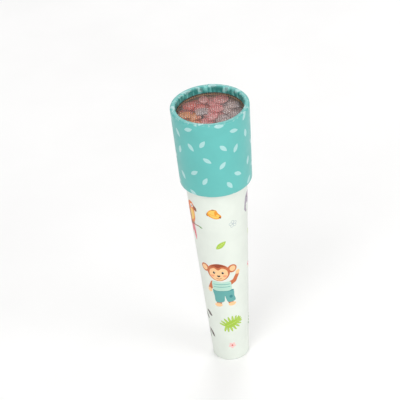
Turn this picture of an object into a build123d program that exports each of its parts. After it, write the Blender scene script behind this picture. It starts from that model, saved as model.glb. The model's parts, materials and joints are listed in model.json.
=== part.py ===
"""A tapered toy kaleidoscope: a card tube that narrows to the eye, and a wider head that turns.

It stands on its eye end. +Z runs up the axis from the eye to the window, the origin is the centre
of the eye end's flat face, and the front of the toy faces -Y. All sizes are in millimetres.
"""

from build123d import *
from math import cos, radians, sin, sqrt, tan
import os

# Overall form
OVERALL_LENGTH = 215.0
HEAD_LENGTH = 60.0
HEAD_RIM_RADIUS = 27.5
HEAD_LOW_RADIUS = 25.5
EYE_END_RADIUS = 13.4
TUBE_RADIUS_AT_HEAD = 22.1

# Sheet and board
PAPER = 0.25
TUBE_BOARD = 1.5
HEAD_BOARD = 1.8
NECK_BOARD = 1.4
GLUE_GAP = 0.05
RUNNING_GAP = 0.1
END_GAP = 0.4

# Eye end
CAP_FLANGE = 0.8
CAP_PLUG_RADIUS = 11.6
CAP_HEIGHT = 5.0
EYE_RECESS_RADIUS = 9.6
EYE_RECESS_DEPTH = 3.5
PEEPHOLE_RADIUS = 4.5
CAP_EDGE_ROUND = 0.4
EYE_PANE = 0.5
EYE_PANE_RADIUS = 11.3
EYE_RETAINER = 1.0
EYE_RETAINER_HOLE = 9.0

# Neck that the head turns on
TUBE_TOP = 158.0
NECK_FOOT = 135.0
NECK_TOP = 198.4
COLLAR_HEIGHT = 8.0
STOP_RING_HEIGHT = 4.0
STOP_RING_RADIUS = 22.9
LINER_BOARD = 1.6

# Mirrors
MIRROR_THICKNESS = 1.2
MIRROR_FOOT_CORNER = 11.2
MIRROR_TOP_CORNER = 18.6
MIRROR_NAMES = ("mirror_rear", "mirror_left", "mirror_right")
TAPE = 0.2
TAPE_WIDTH = 12.0
TAPE_BANDS = {"mirror_tape_lower": 40.0, "mirror_tape_upper": 120.0}
PAD_BANDS = {"mirror_pads_lower": (12.0, 22.0), "mirror_pads_upper": (178.0, 190.0)}
PAD_SLOT = 3.0
MASK = 0.6

# Object chamber and rim
RECESS_RADIUS = 23.5
RECESS_DEPTH = 5.0
WINDOW_PANE = 0.8
FLOOR_PANE = 1.0
FLOOR_PANE_FOOT = 199.9
CHAMBER_RADIUS = 24.6
CHAMBER_WALL = 1.3
RIM_ROUND = 1.3
LOW_EDGE_ROUND = 0.7

# Loose chips, from the chamber's floor up: beads and rods, then three layers of flakes. Each layer
# is two sheets, where the upper one overlaps the gaps in the under one, and each sheet is rings of
# flakes, given as (how many, how far from the axis).
CHIP_REACH = 22.7
CHIP_GAP = 0.15
FLAKE_RADIUS = 5.3
FLAKE_THICKNESS = 0.5
FLAKE_TILT = 1.5
FLAKE_SHEET = 0.83
FLAKE_SHEETS = (((1, 0.0), (6, 11.5)), ((3, 6.2), (9, 17.6)))
LAYER_TURNS = {"lower": 33, "middle": 23, "upper": 43}
LEAN_STEP = 40
SPIN_STEP = 70
SQUARE_SIDE = 8.2
SQUARE_ROUND = 1.6
PETAL_SHIFT = 2.65
BEAD_RADIUS = 1.2
BEAD_LEAN = 60
ROD_RADIUS = 0.9
ROD_LENGTH = 5.0
BEAD_BORE = 0.35
BEADS_AND_RODS = 24
ROD_EVERY = 3
GOLDEN_ANGLE = 180 * (3 - sqrt(5))

# Flakes of one colour lie together. Each colour fills the sector up to its angle from +X, in degrees,
# and the flakes nearest the axis have sectors of their own.
OUTER_SECTORS = (
    (50, "violet"),
    (105, "pink"),
    (165, "red"),
    (250, "orange"),
    (300, "pink"),
    (360, "violet"),
)
INNER_SECTORS = ((110, "pink"), (210, "violet"), (360, "pink"))
INNER_REACH = 8.0

# Heights that follow from those
HEAD_FOOT = OVERALL_LENGTH - HEAD_LENGTH
RECESS_FLOOR = OVERALL_LENGTH - RECESS_DEPTH
WINDOW_FOOT = RECESS_FLOOR - WINDOW_PANE
CHAMBER_FLOOR = FLOOR_PANE_FOOT + FLOOR_PANE
BEADS_FOOT = CHAMBER_FLOOR + CHIP_GAP
FLAKE_LAYER = len(FLAKE_SHEETS) * FLAKE_SHEET
LOWER_FLAKES_FOOT = BEADS_FOOT + 2 * BEAD_RADIUS + CHIP_GAP
MIDDLE_FLAKES_FOOT = LOWER_FLAKES_FOOT + FLAKE_LAYER + CHIP_GAP
UPPER_FLAKES_FOOT = MIDDLE_FLAKES_FOOT + FLAKE_LAYER + CHIP_GAP
MIRROR_FOOT = CAP_HEIGHT + EYE_PANE + EYE_RETAINER
COLLAR_FOOT = TUBE_TOP + END_GAP
COLLAR_TOP = COLLAR_FOOT + COLLAR_HEIGHT
STOP_RING_FOOT = COLLAR_TOP + END_GAP
LINER_FOOT = STOP_RING_FOOT + STOP_RING_HEIGHT + 2 * END_GAP


def tube_radius(z):
    """Outer radius of the printed tube at height z."""
    return EYE_END_RADIUS + (TUBE_RADIUS_AT_HEAD - EYE_END_RADIUS) * z / HEAD_FOOT


def tube_bore(z):
    """Inner radius of the tube's board at height z."""
    return tube_radius(z) - PAPER - TUBE_BOARD


def head_radius(z):
    """Outer radius of the head at height z."""
    share = (z - HEAD_FOOT) / HEAD_LENGTH
    return HEAD_LOW_RADIUS + (HEAD_RIM_RADIUS - HEAD_LOW_RADIUS) * share


def head_bore(z):
    """Inner radius of the head's board at height z."""
    return head_radius(z) - PAPER - HEAD_BOARD


def mirror_corner(z):
    """Distance from the axis to the outside corners of the mirror prism at height z."""
    share = (z - MIRROR_FOOT) / (NECK_TOP - MIRROR_FOOT)
    return MIRROR_FOOT_CORNER + (MIRROR_TOP_CORNER - MIRROR_FOOT_CORNER) * share


def section(*points):
    """A flat section, drawn as (radius, height) points."""
    return make_face(Polyline(*points, close=True))


def turned(profile):
    """The solid that a (radius, height) section makes when it is turned about the axis."""
    return revolve(Plane.XZ * profile, Axis.Z, 360)


def ring(inner, outer, foot, top):
    """A plain ring. Each radius is a number, or a function of height for a tapered side."""
    inner_at = inner if callable(inner) else lambda z: inner
    outer_at = outer if callable(outer) else lambda z: outer
    return turned(
        section((inner_at(foot), foot), (outer_at(foot), foot), (outer_at(top), top), (inner_at(top), top))
    )


def disc(radius, foot, top):
    return Pos(0, 0, foot) * extrude(Circle(radius), top - foot)


def tube_parts():
    """The tapered card tube and the printed paper round it."""
    core_radius = lambda z: tube_radius(z) - PAPER
    return {
        "tube_core": ring(tube_bore, core_radius, CAP_FLANGE, TUBE_TOP),
        "tube_wrap": ring(core_radius, tube_radius, CAP_FLANGE, TUBE_TOP),
    }


def eyepiece_parts():
    """The plug that closes the narrow end, with its peephole, clear pane and retaining ring."""
    plug = section(
        (PEEPHOLE_RADIUS, EYE_RECESS_DEPTH),
        (EYE_RECESS_RADIUS, EYE_RECESS_DEPTH),
        (EYE_RECESS_RADIUS, 0),
        (EYE_END_RADIUS, 0),
        (EYE_END_RADIUS, CAP_FLANGE),
        (CAP_PLUG_RADIUS, CAP_FLANGE),
        (CAP_PLUG_RADIUS, CAP_HEIGHT),
        (PEEPHOLE_RADIUS, CAP_HEIGHT),
    )
    outside_edge = [v for v in plug.vertices() if v.X > CAP_PLUG_RADIUS + 1 and v.Y < CAP_FLANGE / 2]
    pane_top = CAP_HEIGHT + EYE_PANE
    return {
        "eyepiece_cap": turned(fillet(outside_edge, CAP_EDGE_ROUND)),
        "eyepiece_window": disc(EYE_PANE_RADIUS, CAP_HEIGHT, pane_top),
        "eyepiece_retainer": ring(EYE_RETAINER_HOLE, CAP_PLUG_RADIUS, pane_top, MIRROR_FOOT),
    }


def neck_parts():
    """The sleeve glued into the tube, and the stop ring that keeps the head on it."""
    outer = tube_bore(TUBE_TOP)
    foot_radius = tube_bore(NECK_FOOT)
    sleeve = section(
        (foot_radius - NECK_BOARD, NECK_FOOT),
        (foot_radius, NECK_FOOT),
        (outer, TUBE_TOP),
        (outer, NECK_TOP),
        (outer - NECK_BOARD, NECK_TOP),
        (outer - NECK_BOARD, TUBE_TOP),
    )
    stop_top = STOP_RING_FOOT + STOP_RING_HEIGHT
    return {
        "neck_sleeve": turned(sleeve),
        "neck_stop_ring": ring(outer, STOP_RING_RADIUS, STOP_RING_FOOT, stop_top),
    }


def triangle(corner, height):
    """An equilateral triangle with a side to the rear, at a height. corner is its outside radius."""
    corners = [(corner * cos(radians(a)), corner * sin(radians(a))) for a in (30, 150, 270)]
    return Pos(0, 0, height) * make_face(Polyline(*corners, close=True))


def prism(foot, top, grown=0.0):
    """The space that the three mirrors fill and enclose, between two heights."""
    return loft([triangle(mirror_corner(z) + 2 * grown, z) for z in (foot, top)], ruled=True)


def mirror(turn):
    """One long mirror: a strip that widens towards the chamber, mitred at both long edges."""

    def end(z):
        back = mirror_corner(z) / 2
        face = back - MIRROR_THICKNESS
        wide, narrow = (d * tan(radians(60)) - GLUE_GAP for d in (back, face))
        outline = Polyline((-wide, back), (wide, back), (narrow, face), (-narrow, face), close=True)
        return Pos(0, 0, z) * make_face(outline)

    return Rot(0, 0, turn) * loft([end(MIRROR_FOOT), end(NECK_TOP)], ruled=True)


def corner_slots(foot, top):
    """Three cuts at the corners of the mirror prism, which part a foam ring into three pads."""
    height = top - foot
    slot = Pos(HEAD_RIM_RADIUS / 2, 0, foot + height / 2) * Box(HEAD_RIM_RADIUS, PAD_SLOT, height + 2)
    return [Rot(0, 0, angle) * slot for angle in (30, 150, 270)]


def mirror_parts():
    """Three mirrors, the tape round them, the foam that packs them and the mask over their end."""
    parts = {name: mirror(120 * i) for i, name in enumerate(MIRROR_NAMES)}
    for name, foot in TAPE_BANDS.items():
        top = foot + TAPE_WIDTH
        parts[name] = prism(foot, top, grown=TAPE) - prism(foot - 1, top + 1)
    for name, (foot, top) in PAD_BANDS.items():
        bore = min(tube_bore(foot), tube_bore(TUBE_TOP) - NECK_BOARD) - GLUE_GAP
        foam = disc(bore, foot, top) - prism(foot - 1, top + 1, grown=GLUE_GAP)
        parts[name] = foam - corner_slots(foot, top)
    opening = triangle(mirror_corner(NECK_TOP) - 2 * MIRROR_THICKNESS, NECK_TOP)
    mask = disc(tube_bore(TUBE_TOP), NECK_TOP, NECK_TOP + MASK)
    parts["mirror_mask"] = mask - extrude(opening, MASK, dir=(0, 0, 1))
    return parts


def softened(face, radius, chosen):
    """A section with some corners rounded: those that chosen(radius, height) picks out."""
    return fillet([v for v in face.vertices() if chosen(v.X, v.Y)], radius)


def head_sections():
    """Sections of the head's board shell, of its rim ring, and of the teal paper over both."""
    foot, top = HEAD_FOOT + PAPER, OVERALL_LENGTH - PAPER
    recess = RECESS_RADIUS + PAPER
    shell_inner, shell_outer = (head_bore(top), top), (head_radius(top) - PAPER, top)
    shell = section((head_bore(foot), foot), (head_radius(foot) - PAPER, foot), shell_outer, shell_inner)
    rim = section((recess, RECESS_FLOOR), (head_bore(RECESS_FLOOR), RECESS_FLOOR), shell_inner, (recess, top))
    wall = section(
        (head_bore(HEAD_FOOT) - PAPER, HEAD_FOOT),
        (HEAD_LOW_RADIUS, HEAD_FOOT),
        (HEAD_RIM_RADIUS, OVERALL_LENGTH),
        (RECESS_RADIUS, OVERALL_LENGTH),
        (RECESS_RADIUS, RECESS_FLOOR),
        (head_bore(RECESS_FLOOR), RECESS_FLOOR),
        (head_bore(COLLAR_FOOT), COLLAR_FOOT),
        (head_bore(COLLAR_FOOT) - PAPER, COLLAR_FOOT),
    )
    board_round = RIM_ROUND - PAPER
    wall = softened(wall, LOW_EDGE_ROUND, lambda r, z: z < COLLAR_FOOT - 1)
    wall = softened(wall, RIM_ROUND, lambda r, z: z > RECESS_FLOOR + 1)
    shell = softened(shell, LOW_EDGE_ROUND - PAPER, lambda r, z: z < COLLAR_FOOT)
    shell = softened(shell, board_round, lambda r, z: z > RECESS_FLOOR and r > shell_inner[0] + 1)
    rim = softened(rim, board_round, lambda r, z: z > RECESS_FLOOR + 1 and r < shell_inner[0] - 1)
    return shell, rim, wall - shell - rim


def head_parts():
    """The turning head: its board shell, teal paper, collar, liner and rim ring."""
    shell, rim, paper = head_sections()
    collar_bore = tube_bore(TUBE_TOP) + RUNNING_GAP
    liner_bore = lambda z: head_bore(z) - LINER_BOARD
    return {
        "head_wrap": turned(paper),
        "head_shell": turned(shell),
        "rim_ring": turned(rim),
        "head_collar": ring(collar_bore, head_bore, COLLAR_FOOT, COLLAR_TOP),
        "head_liner": ring(liner_bore, head_bore, LINER_FOOT, FLOOR_PANE_FOOT),
    }


def chamber_parts():
    """The box that the chips tumble in: two panes and the ring between them."""
    return {
        "chamber_floor": disc(CHAMBER_RADIUS, FLOOR_PANE_FOOT, CHAMBER_FLOOR),
        "chamber_ring": ring(CHAMBER_RADIUS - CHAMBER_WALL, CHAMBER_RADIUS, CHAMBER_FLOOR, WINDOW_FOOT),
        "chamber_window": disc(CHAMBER_RADIUS, WINDOW_FOOT, RECESS_FLOOR),
    }


def round_flake():
    return Circle(FLAKE_RADIUS)


def six_sided():
    return RegularPolygon(FLAKE_RADIUS, 6)


def square():
    return RectangleRounded(SQUARE_SIDE, SQUARE_SIDE, SQUARE_ROUND)


def petal():
    """A leaf-shaped flake, as long as the round ones are wide: where two discs overlap."""
    reach = sqrt(FLAKE_RADIUS ** 2 + PETAL_SHIFT ** 2)
    return Pos(-PETAL_SHIFT, 0) * Circle(reach) & Pos(PETAL_SHIFT, 0) * Circle(reach)


def flake_colour(angle, distance):
    """The colour of the sector that a flake at this angle and distance from the axis lies in."""
    sectors = INNER_SECTORS if distance < INNER_REACH else OUTER_SECTORS
    return next(colour for limit, colour in sectors if angle % 360 < limit)


def flake_layer(layer, foot, outlines):
    """One layer of flakes, as {colour: solids}. Each flake leans a little its own way."""
    places = [
        (LAYER_TURNS[layer] + 360 * (i + row / 2) / count, distance, foot + (sheet + 0.5) * FLAKE_SHEET)
        for sheet, rings in enumerate(FLAKE_SHEETS)
        for row, (count, distance) in enumerate(rings)
        for i in range(count)
    ]
    flakes = {}
    for i, (angle, distance, height) in enumerate(places):
        blank = extrude(outlines[i % len(outlines)](), FLAKE_THICKNESS / 2, both=True)
        lean = Rot(0, 0, 3 * angle + LEAN_STEP * i) * Rot(FLAKE_TILT, 0, 0) * Rot(0, 0, SPIN_STEP * i)
        flake = Rot(0, 0, angle) * Pos(distance, 0, height) * lean * blank
        flakes.setdefault(flake_colour(angle, distance), []).append(flake)
    return flakes


def flake_parts():
    """Three layers of flat translucent flakes, each layer's colours as separate parts."""
    plain, mixed = (round_flake, six_sided), (round_flake, petal, six_sided, square, petal)
    layers = {
        "lower": flake_layer("lower", LOWER_FLAKES_FOOT, plain),
        "middle": flake_layer("middle", MIDDLE_FLAKES_FOOT, plain),
        "upper": flake_layer("upper", UPPER_FLAKES_FOOT, mixed),
    }
    return {
        f"{layer}_flakes_{colour}": Compound(children=flakes)
        for layer, colours in layers.items()
        for colour, flakes in colours.items()
    }


def spiral_places(count, reach):
    """Evenly spread places in a disc, from its centre out: (turn in degrees, distance)."""
    return [(i * GOLDEN_ANGLE, reach * sqrt((i + 0.5) / (count - 0.5))) for i in range(count)]


def bead():
    """A round bead with a hole through it."""
    return Sphere(BEAD_RADIUS) - Cylinder(BEAD_BORE, 3 * BEAD_RADIUS)


def rod():
    """A tube bead, lying along X."""
    return Rot(0, 90, 0) * (Cylinder(ROD_RADIUS, ROD_LENGTH) - Cylinder(BEAD_BORE, ROD_LENGTH))


def bead_parts():
    """Beads and short rods, which settle under the flakes."""
    beads, rods = [], []
    for i, (turn, distance) in enumerate(spiral_places(BEADS_AND_RODS, CHIP_REACH - ROD_LENGTH / 2)):
        place = Rot(0, 0, turn) * Pos(distance, 0, BEADS_FOOT)
        if i % ROD_EVERY == 1:
            rods.append(place * Pos(0, 0, ROD_RADIUS) * Rot(0, 0, 2 * turn) * rod())
        else:
            beads.append(place * Pos(0, 0, BEAD_RADIUS) * Rot(0, BEAD_LEAN, 2 * turn) * bead())
    return {
        "beads_red": Compound(children=beads[::2]),
        "beads_clear": Compound(children=beads[1::2]),
        "rods_gold": Compound(children=rods),
    }


parts = {
    **tube_parts(),
    **eyepiece_parts(),
    **neck_parts(),
    **mirror_parts(),
    **head_parts(),
    **chamber_parts(),
    **flake_parts(),
    **bead_parts(),
}
os.makedirs("parts", exist_ok=True)
for name, part in parts.items():
    export_step(part, f"parts/{name}.step")
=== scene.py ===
"""Looks of the card kaleidoscope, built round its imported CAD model.

The toy's lengths are in millimetres, times MM. The camera, lights and floor are in metres.
The toy's axis is Z, and its front faces -Y.
An angle round the axis is in degrees: 0 is the front, and it grows to the right as seen from the front.
"""

import json
import math
import random

import bmesh
import bpy
import numpy as np
from mathutils import Matrix, Vector
from mathutils.geometry import delaunay_2d_cdt


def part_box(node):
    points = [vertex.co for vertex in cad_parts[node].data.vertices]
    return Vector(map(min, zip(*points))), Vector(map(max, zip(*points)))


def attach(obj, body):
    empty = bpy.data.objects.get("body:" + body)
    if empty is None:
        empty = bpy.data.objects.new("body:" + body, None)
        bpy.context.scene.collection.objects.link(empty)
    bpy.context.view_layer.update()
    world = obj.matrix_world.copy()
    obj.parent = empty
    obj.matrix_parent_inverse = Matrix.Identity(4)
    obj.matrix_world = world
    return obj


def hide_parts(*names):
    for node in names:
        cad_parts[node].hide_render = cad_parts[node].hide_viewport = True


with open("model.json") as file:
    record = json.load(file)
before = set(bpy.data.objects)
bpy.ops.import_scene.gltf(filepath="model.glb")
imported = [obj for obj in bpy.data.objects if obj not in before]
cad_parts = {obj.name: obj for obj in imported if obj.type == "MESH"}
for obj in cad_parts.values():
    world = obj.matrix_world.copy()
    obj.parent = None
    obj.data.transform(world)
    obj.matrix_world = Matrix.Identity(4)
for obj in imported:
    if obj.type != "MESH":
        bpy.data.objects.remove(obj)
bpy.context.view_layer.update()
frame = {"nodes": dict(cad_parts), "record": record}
scene = bpy.context.scene
MM = 0.001
TURN = 2 * math.pi


# ---------------- camera, light and floor

CAMERA_DISTANCE = 1.069
CAMERA_HEIGHT = 0.8753
CAMERA_YAW = -0.68
CAMERA_PITCH = 34.64
CAMERA_ROLL = -5.46
LENS = 165.8
FLOOR_REACH = 6.0


def placed(name, data):
    """A new object, put in the scene."""
    thing = bpy.data.objects.new(name, data)
    scene.collection.objects.link(thing)
    return thing


def make_camera():
    """A long lens looking down at the front, a little rolled, as the toy leans in the picture."""
    yaw, pitch, roll = (math.radians(a) for a in (CAMERA_YAW, CAMERA_PITCH, CAMERA_ROLL))
    forward = Vector((math.sin(yaw) * math.cos(pitch), math.cos(yaw) * math.cos(pitch), -math.sin(pitch)))
    level = forward.cross(Vector((0, 0, 1))).normalized()
    upright = level.cross(forward)
    right = math.cos(roll) * level + math.sin(roll) * upright
    up = math.cos(roll) * upright - math.sin(roll) * level
    data = bpy.data.cameras.new("camera")
    data.lens = LENS
    data.sensor_width = 36
    camera = placed("camera", data)
    camera.matrix_world = Matrix((right, up, -forward)).transposed().to_4x4()
    camera.location = (0, -CAMERA_DISTANCE, CAMERA_HEIGHT)
    scene.camera = camera


def make_softbox(name, place, aim, size, power):
    data = bpy.data.lights.new(name, "AREA")
    data.shape = "DISK"
    data.size = size
    data.energy = power
    lamp = placed(name, data)
    lamp.location = place
    lamp.rotation_euler = (Vector(aim) - Vector(place)).to_track_quat("-Z", "Y").to_euler()


def make_lights():
    middle = (0, 0, 0.12)
    make_softbox("key", (-0.55, -1.1, 1.5), middle, 1, 9.8)
    make_softbox("fill", (1.2, -0.7, 0.8), middle, 0.9, 6)
    make_softbox("back", (0.2, 1.2, 1.3), middle, 1, 7.2)
    make_softbox("low", (0.1, -1.3, 0.3), (0, 0, 0.04), 0.5, 3.2)
    world = bpy.data.worlds.new("studio")
    scene.world = world
    world.use_nodes = True
    sky = world.node_tree.nodes["Background"]
    sky.inputs["Color"].default_value = (1, 1, 1, 1)
    sky.inputs["Strength"].default_value = 0.61
    scene.view_settings.view_transform = "Standard"


# ---------------- materials

def linear(red, green, blue):
    """A colour given as it looks on screen, 0 to 255, in the renderer's linear light."""
    def channel(v):
        v /= 255
        return v / 12.92 if v <= 0.04045 else ((v + 0.055) / 1.055) ** 2.4
    return (channel(red), channel(green), channel(blue), 1)


def printed(red, green, blue):
    """The ink that looks like this colour, 0 to 255, under the studio light, which brightens a wall."""
    gloss, gain = 0.05, 1.08
    return tuple(max(0.004, (c - gloss) / gain) for c in linear(red, green, blue)[:3]) + (1,)


def shade(colour, factor):
    """A darker or lighter version of a linear colour."""
    return tuple(min(1, c * factor) for c in colour[:3]) + (1,)


class Paint:
    """A material under construction, with short names for the nodes that the materials share."""

    def __init__(self, name):
        self.material = bpy.data.materials.new(name)
        self.material.use_nodes = True
        self.tree = self.material.node_tree
        self.shader = self.tree.nodes["Principled BSDF"]
        self.place = self.tree.nodes.new("ShaderNodeTexCoord").outputs["Object"]

    def set(self, **values):
        for socket, value in values.items():
            self.feed(self.shader.inputs[socket.replace("_", " ")], value)

    def surface(self, colour, roughness):
        self.set(Base_Color=colour, Roughness=roughness)

    def feed(self, socket, value):
        """Links a socket to a node's output, or sets it to a number or colour."""
        if isinstance(value, bpy.types.NodeSocket):
            self.tree.links.new(value, socket)
        else:
            socket.default_value = value

    def node(self, kind, **values):
        """A new node, with its named inputs fed."""
        node = self.tree.nodes.new("ShaderNode" + kind)
        for socket, value in values.items():
            self.feed(node.inputs[socket], value)
        return node

    def stretched(self, x, y, z):
        """The object's coordinates in metres, multiplied along each axis."""
        node = self.node("VectorMath")
        node.operation = "MULTIPLY"
        self.feed(node.inputs[0], self.place)
        self.feed(node.inputs[1], (x, y, z))
        return node.outputs["Vector"]

    def noise(self, size_mm, detail=3, rough=0.55, where=None):
        place = where or self.place
        node = self.node("TexNoise", Scale=1 / (size_mm * MM), Detail=detail, Roughness=rough, Vector=place)
        return node.outputs["Fac"]

    def cells(self, size_mm):
        return self.node("TexVoronoi", Scale=1 / (size_mm * MM), Vector=self.place).outputs["Distance"]

    def maths(self, operation, a, b=0):
        node = self.node("Math")
        node.operation = operation
        self.feed(node.inputs[0], a)
        self.feed(node.inputs[1], b)
        return node.outputs[0]

    def times(self, a, b):
        return self.maths("MULTIPLY", a, b)

    def away(self, value, middle):
        """How far a value is from a middle one."""
        return self.maths("ABSOLUTE", self.maths("SUBTRACT", value, middle))

    def range(self, value, low, high, to_low=0, to_high=1):
        """A smooth step from to_low to to_high as the value goes from low to high."""
        node = self.node("MapRange")
        node.interpolation_type = "SMOOTHSTEP"
        for socket, v in zip(node.inputs, (value, low, high, to_low, to_high)):
            self.feed(socket, v)
        return node.outputs["Result"]

    def mix(self, share, a, b):
        """Colour a, with this share of colour b."""
        node = self.node("Mix", Factor=share)
        node.data_type = "RGBA"
        self.feed(node.inputs[6], a)
        self.feed(node.inputs[7], b)
        return node.outputs[2]

    def bump(self, height, depth_mm, strength, over=None):
        node = self.node("Bump", Strength=strength, Distance=depth_mm * MM, Height=height)
        if over is not None:
            self.feed(node.inputs["Normal"], over)
        self.set(Normal=node.outputs["Normal"])
        return node.outputs["Normal"]

    def axes(self):
        """The object's x, y and z coordinates in metres."""
        return tuple(self.node("SeparateXYZ", Vector=self.place).outputs)

    def turn(self):
        """The angle round the toy's axis, as a share of a whole turn."""
        x, y, _ = self.axes()
        return self.maths("DIVIDE", self.maths("ARCTAN2", x, y), TURN)


def printed_paper(name, colour, edges=(), painted_fold_shading=0):
    """Satin printed paper: ink that varies a little, fine fibre, wear at the given edges, and on the recess
    wall painted shade in the fold valleys and painted highlight on the fold ridges.
    """
    p = Paint(name)
    speckle = p.noise(0.35, 2, 0.7)
    tone = p.mix(p.range(p.noise(14, 2), 0.3, 0.7), shade(colour, 0.975), shade(colour, 1.02))
    tone = p.mix(p.range(speckle, 0.35, 0.75, 0, 0.16), tone, shade(colour, 0.82))
    # Painted shade and light on the recess wall: dark streaks paint the shade in the fold valleys and deep in
    # the recess, and pale streaks paint the highlight on the fold ridges.
    if painted_fold_shading:
        x, y, z = p.axes()
        out = p.maths("SQRT", p.maths("ADD", p.times(x, x), p.times(y, y)))
        inner = p.range(out, RECESS_RADIUS * MM, (RECESS_RADIUS + 1.4) * MM, painted_fold_shading, 0)
        inner = p.times(inner, p.maths("GREATER_THAN", z, (WINDOW_TOP - 10) * MM))
        around = p.node("CombineXYZ", X=p.times(p.turn(), 60), Y=p.times(z, 90))
        pleat = p.noise(1000, 3, 0.6, around.outputs[0])
        for ink, *step in ((PLEAT_PAINTED_SHADE, 0.43, 0.57, 0, 1), (PLEAT_PAINTED_HIGHLIGHT, 0.34, 0.5, 0.85, 0)):
            tone = p.mix(p.times(inner, p.range(pleat, *step)), tone, ink)
    height = p.axes()[2]
    for edge, reach in edges:
        near = p.range(p.away(height, edge * MM), 0, reach * MM, 1, 0)
        rubbed = p.times(near, p.range(p.noise(2.4, 4, 0.6), 0.5, 0.7))
        tone = p.mix(p.times(rubbed, 0.42), tone, WORN)
    p.surface(tone, p.range(p.noise(5, 4, 0.65), 0.3, 0.75, 0.34, 0.5))
    p.set(IOR=1.47, Coat_Weight=0.12, Coat_Roughness=0.22)
    fibre = p.bump(p.noise(0.3, 3, 0.7), 0.012, 0.6)
    p.bump(p.noise(9, 2), 0.06, 0.35, over=fibre)
    return p.material


def greyboard(name, colour=(0.50, 0.45, 0.37, 1), ply_width=38):
    """Spiral-wound grey board: flecked fibre with the slanting seam of its outer ply."""
    p = Paint(name)
    fleck = p.noise(0.5, 5, 0.75)
    tone = p.mix(p.range(p.noise(11, 3), 0.3, 0.7), shade(colour, 0.88), shade(colour, 1.12))
    tone = p.mix(p.range(fleck, 0.56, 0.7, 0, 0.6), tone, shade(colour, 0.5))
    tone = p.mix(p.range(fleck, 0.3, 0.4, 0.5, 0), tone, shade(colour, 1.5))
    climb = p.maths("ADD", p.turn(), p.maths("DIVIDE", p.axes()[2], ply_width * MM))
    seam = p.range(p.away(p.maths("FRACT", climb), 0.5), 0, 0.02, 1, 0)
    p.surface(p.mix(p.times(seam, 0.7), tone, shade(colour, 0.35)), p.range(fleck, 0.3, 0.7, 0.78, 0.95))
    p.set(Specular_IOR_Level=0.25)
    rough = p.bump(fleck, 0.05, 0.7)
    p.bump(p.maths("SUBTRACT", 1, seam), 0.15, 0.6, over=rough)
    return p.material


def plain_card(name, colour, fleck_size=0.4, roughness=(0.55, 0.75), lines=()):
    """Dyed card with a fine felt-like surface, and with painted highlight lines round it at the given heights
    in mm.
    """
    p = Paint(name)
    fleck = p.noise(fleck_size, 4, 0.7)
    tone = p.mix(p.range(fleck, 0.35, 0.7), shade(colour, 0.8), shade(colour, 1.25))
    tone = p.mix(p.range(p.noise(6, 2), 0.4, 0.7, 0, 0.5), tone, shade(colour, 1.4))
    height = p.axes()[2]
    # Painted highlight: a pale line round the card at each given height.
    for line in lines:
        tone = p.mix(p.range(p.away(height, line * MM), 0.25 * MM, 0.5 * MM, 0.85, 0), tone, PAINTED_HIGHLIGHT_LINE)
    p.surface(tone, p.range(fleck, 0.3, 0.7, *roughness))
    p.bump(fleck, 0.03, 0.6)
    return p.material


def moulded_plastic(name, colour):
    """Injection-moulded plastic with a fine spark-eroded texture and faint flow marks."""
    p = Paint(name)
    flow = p.noise(7, 2)
    p.surface(p.mix(p.range(flow, 0.35, 0.7), shade(colour, 0.94), shade(colour, 1.04)),
              p.range(p.noise(1.2, 4, 0.7), 0.35, 0.7, 0.33, 0.48))
    p.set(IOR=1.5, Subsurface_Weight=0.08, Subsurface_Scale=0.0015)
    p.bump(p.noise(0.18, 2, 0.6), 0.012, 0.5)
    return p.material


def clear_sheet(name, tint, alpha, haze=(0.04, 0.14)):
    """Thin clear plastic sheet with a faint tint, a few scuffs and slight waves."""
    p = Paint(name)
    scuff = p.noise(3, 5, 0.7, p.stretched(1, 3, 1))
    p.surface(p.mix(p.range(scuff, 0.5, 0.72), tint, shade(tint, 1.15)), p.range(scuff, 0.45, 0.75, *haze))
    p.set(Alpha=alpha, IOR=1.49)
    p.bump(p.noise(8, 2), 0.03, 0.3)
    return p.material


def tinted_chip(name, colour, second=None, alpha=0.56):
    """Translucent coloured plastic that runs into a second colour, with flow swirls and tiny bubbles."""
    p = Paint(name)
    swirl = p.noise(3.2, 4, 0.6)
    bubbles = p.cells(0.9)
    hue = p.mix(p.range(p.noise(9, 2), 0.42, 0.6), colour, second or colour)
    tone = p.mix(p.range(swirl, 0.35, 0.68, 0.25, 0), hue, shade(colour, 0.7))
    tone = p.mix(p.range(bubbles, 0.02, 0.12, 0.35, 0), tone, shade(colour, 1.6))
    p.surface(tone, p.range(p.noise(1.5, 4), 0.35, 0.7, 0.08, 0.24))
    p.set(Alpha=alpha, IOR=1.5, Specular_IOR_Level=0.35, Coat_Weight=0.1, Coat_Roughness=0.08)
    p.bump(swirl, 0.06, 0.35)
    return p.material


def mirror_face(name):
    """Mirror film: a bright metal coat with faint ripples and a little dust."""
    p = Paint(name)
    ripple = p.noise(18, 2, 0.5, p.stretched(1, 1, 0.3))
    dust = p.noise(0.8, 5, 0.75)
    p.surface(p.mix(p.range(dust, 0.62, 0.75, 0, 0.35), (0.86, 0.88, 0.9, 1), (0.5, 0.5, 0.5, 1)),
              p.range(dust, 0.6, 0.78, 0.03, 0.2))
    p.set(Metallic=1)
    p.bump(ripple, 0.02, 0.2)
    return p.material


def foam(name, colour=(0.80, 0.79, 0.76, 1)):
    """Open-cell packing foam, with painted shade in its pores."""
    p = Paint(name)
    pores = p.cells(0.55)
    # Painted shade: the pits that the bump makes in the pores are coloured darker.
    tone = p.mix(p.range(pores, 0.05, 0.4), shade(colour, 0.55), colour)
    p.surface(p.mix(p.range(p.noise(5, 2), 0.4, 0.65, 0, 0.4), tone, shade(colour, 0.85)),
              p.range(pores, 0, 0.4, 0.98, 0.86))
    p.set(Specular_IOR_Level=0.15, Sheen_Weight=0.2)
    p.bump(pores, 0.25, 0.9)
    return p.material


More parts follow.
